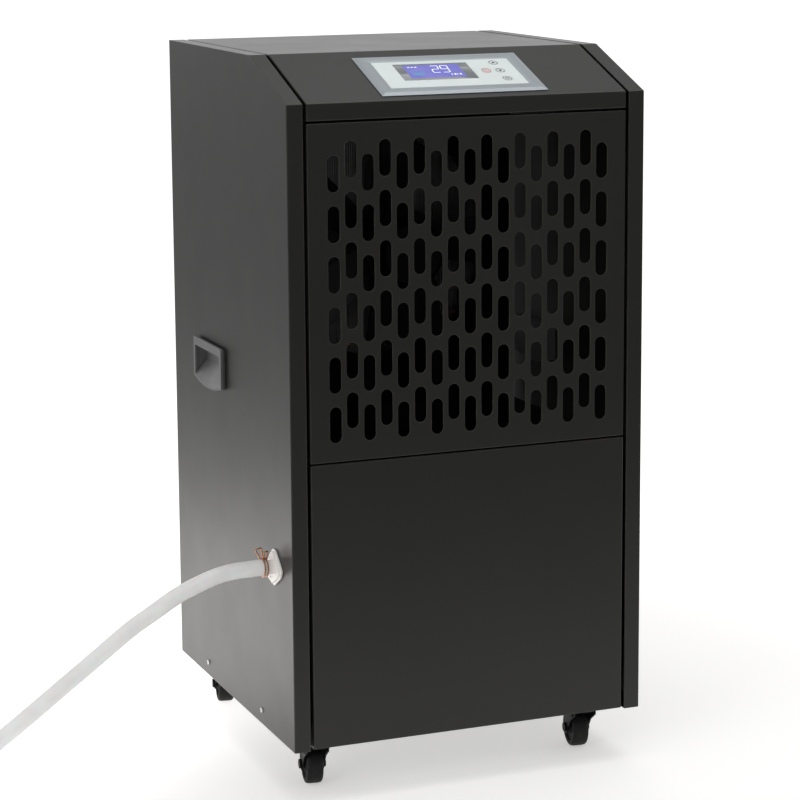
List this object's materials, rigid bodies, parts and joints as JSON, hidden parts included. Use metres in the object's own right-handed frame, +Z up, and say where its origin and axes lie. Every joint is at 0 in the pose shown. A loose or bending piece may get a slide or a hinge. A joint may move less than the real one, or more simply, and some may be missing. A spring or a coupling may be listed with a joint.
{
  "type": "dehumidifier",
  "caption": "Upright sheet-steel dehumidifier on swivel casters, with a slotted front grille, sloped control panel, side grips and a side drain hose.",
  "frame": {"origin": "on the floor under the middle of the cabinet", "axes": "+Z up, -Y towards the slotted front, -X towards the side with the drain hose"},
  "size_m": [1.1933, 0.462, 0.902],
  "materials": {
    "powder_coat": "fine-textured satin powder coat, near black",
    "galvanised_steel": "zinc-coated sheet",
    "grey_plastic": "fine-grained moulding",
    "black_plastic": "fine-grained moulding",
    "white_plastic": "smooth moulding",
    "silver_bezel": "bluish silver satin paint",
    "keypad_film": "printed film",
    "display_glass": "gloss tinted window",
    "fin_aluminium": "mill finish",
    "copper": "copper, bright drawn",
    "painted_black": "gloss black paint",
    "tyre_rubber": "matt black",
    "hose_vinyl": "milky translucent vinyl",
    "circuit_board": "solder-masked board",
    "filter_fabric": "woven nylon mesh"
  },
  "bodies": {
    "cabinet": {"side_panel_left": "powder_coat", "side_panel_right": "powder_coat", "top_cover": "powder_coat", "front_grille": "powder_coat", "front_lower_panel": "powder_coat", "rear_panel": "powder_coat", "base_pan": "galvanised_steel", "control_box": "galvanised_steel", "handle_left": "grey_plastic", "handle_right": "grey_plastic", "intake_guard": "black_plastic", "cord_gland": "black_plastic", "drip_tray": "black_plastic", "display_bezel": "silver_bezel", "keypad_plate": "keypad_film", "display_window": "display_glass", "display_board": "circuit_board", "drain_spout": "white_plastic", "hose_clamp": "copper", "drain_hose": "hose_vinyl", "hose_coil": "hose_vinyl", "drain_tube": "hose_vinyl", "evaporator_coil": "fin_aluminium", "condenser_coil": "fin_aluminium", "deck_plate": "painted_black", "fan_shroud": "painted_black", "motor_bracket": "painted_black", "fan_motor": "painted_black", "compressor": "painted_black", "accumulator": "painted_black", "compressor_foot_1": "tyre_rubber", "compressor_foot_2": "tyre_rubber", "compressor_foot_3": "tyre_rubber", "suction_line": "copper", "discharge_line": "copper", "capillary_line": "copper", "caster_plate_front_left": "painted_black", "caster_plate_front_right": "painted_black", "caster_plate_rear_left": "painted_black", "caster_plate_rear_right": "painted_black"},
    "air_filter": {"filter_frame": "black_plastic", "filter_mesh": "filter_fabric"},
    "fan": {"fan_wheel": "black_plastic"},
    "key_up": {"key_up": "keypad_film"},
    "key_down": {"key_down": "keypad_film"},
    "key_timer": {"key_timer": "keypad_film"},
    "key_power": {"key_power": "keypad_film"},
    "caster_front_left": {"caster_fork_front_left": "painted_black", "caster_axle_front_left": "painted_black"},
    "wheel_front_left": {"caster_wheel_front_left": "tyre_rubber"},
    "caster_front_right": {"caster_fork_front_right": "painted_black", "caster_axle_front_right": "painted_black"},
    "wheel_front_right": {"caster_wheel_front_right": "tyre_rubber"},
    "caster_rear_left": {"caster_fork_rear_left": "painted_black", "caster_axle_rear_left": "painted_black"},
    "wheel_rear_left": {"caster_wheel_rear_left": "tyre_rubber"},
    "caster_rear_right": {"caster_fork_rear_right": "painted_black", "caster_axle_rear_right": "painted_black"},
    "wheel_rear_right": {"caster_wheel_rear_right": "tyre_rubber"}
  },
  "joints": [
    {"name": "filter_pull", "type": "slide", "parent": "cabinet", "child": "air_filter", "axis": [0, 1, 0], "range_m": [0, 0.06]},
    {"name": "fan_spin", "type": "hinge", "parent": "cabinet", "child": "fan", "pos_m": [0, 0.05, 0.64], "axis": [0, 1, 0], "continuous": true},
    {"name": "key_up_press", "type": "slide", "parent": "cabinet", "child": "key_up", "axis": [0, 0.3495, -0.9369], "range_m": [0, 0.0005], "stiffness_N_per_m": 1500, "springref_m": -0.0004},
    {"name": "key_down_press", "type": "slide", "parent": "cabinet", "child": "key_down", "axis": [0, 0.3495, -0.9369], "range_m": [0, 0.0005], "stiffness_N_per_m": 1500, "springref_m": -0.0004},
    {"name": "key_timer_press", "type": "slide", "parent": "cabinet", "child": "key_timer", "axis": [0, 0.3495, -0.9369], "range_m": [0, 0.0005], "stiffness_N_per_m": 1500, "springref_m": -0.0004},
    {"name": "key_power_press", "type": "slide", "parent": "cabinet", "child": "key_power", "axis": [0, 0.3495, -0.9369], "range_m": [0, 0.0005], "stiffness_N_per_m": 1500, "springref_m": -0.0004},
    {"name": "swivel_front_left", "type": "hinge", "parent": "cabinet", "child": "caster_front_left", "pos_m": [-0.186, -0.177, 0.06], "axis": [0, 0, 1], "continuous": true},
    {"name": "roll_front_left", "type": "hinge", "parent": "caster_front_left", "child": "wheel_front_left", "pos_m": [-0.18209, -0.15231, 0.025], "axis": [0.9877, -0.1564, 0], "continuous": true},
    {"name": "swivel_front_right", "type": "hinge", "parent": "cabinet", "child": "caster_front_right", "pos_m": [0.178, -0.177, 0.06], "axis": [0, 0, 1], "continuous": true},
    {"name": "roll_front_right", "type": "hinge", "parent": "caster_front_right", "child": "wheel_front_right", "pos_m": [0.18148, -0.15224, 0.025], "axis": [0.9903, -0.1392, 0], "continuous": true},
    {"name": "swivel_rear_left", "type": "hinge", "parent": "cabinet", "child": "caster_rear_left", "pos_m": [-0.186, 0.177, 0.06], "axis": [0, 0, 1], "continuous": true},
    {"name": "roll_rear_left", "type": "hinge", "parent": "caster_rear_left", "child": "wheel_rear_left", "pos_m": [-0.18123, 0.20154, 0.025], "axis": [0.9816, -0.1908, 0], "continuous": true},
    {"name": "swivel_rear_right", "type": "hinge", "parent": "cabinet", "child": "caster_rear_right", "pos_m": [0.178, 0.177, 0.06], "axis": [0, 0, 1], "continuous": true},
    {"name": "roll_rear_right", "type": "hinge", "parent": "caster_rear_right", "child": "wheel_rear_right", "pos_m": [0.17452, 0.20176, 0.025], "axis": [0.9903, 0.1392, 0], "continuous": true}
  ]
}
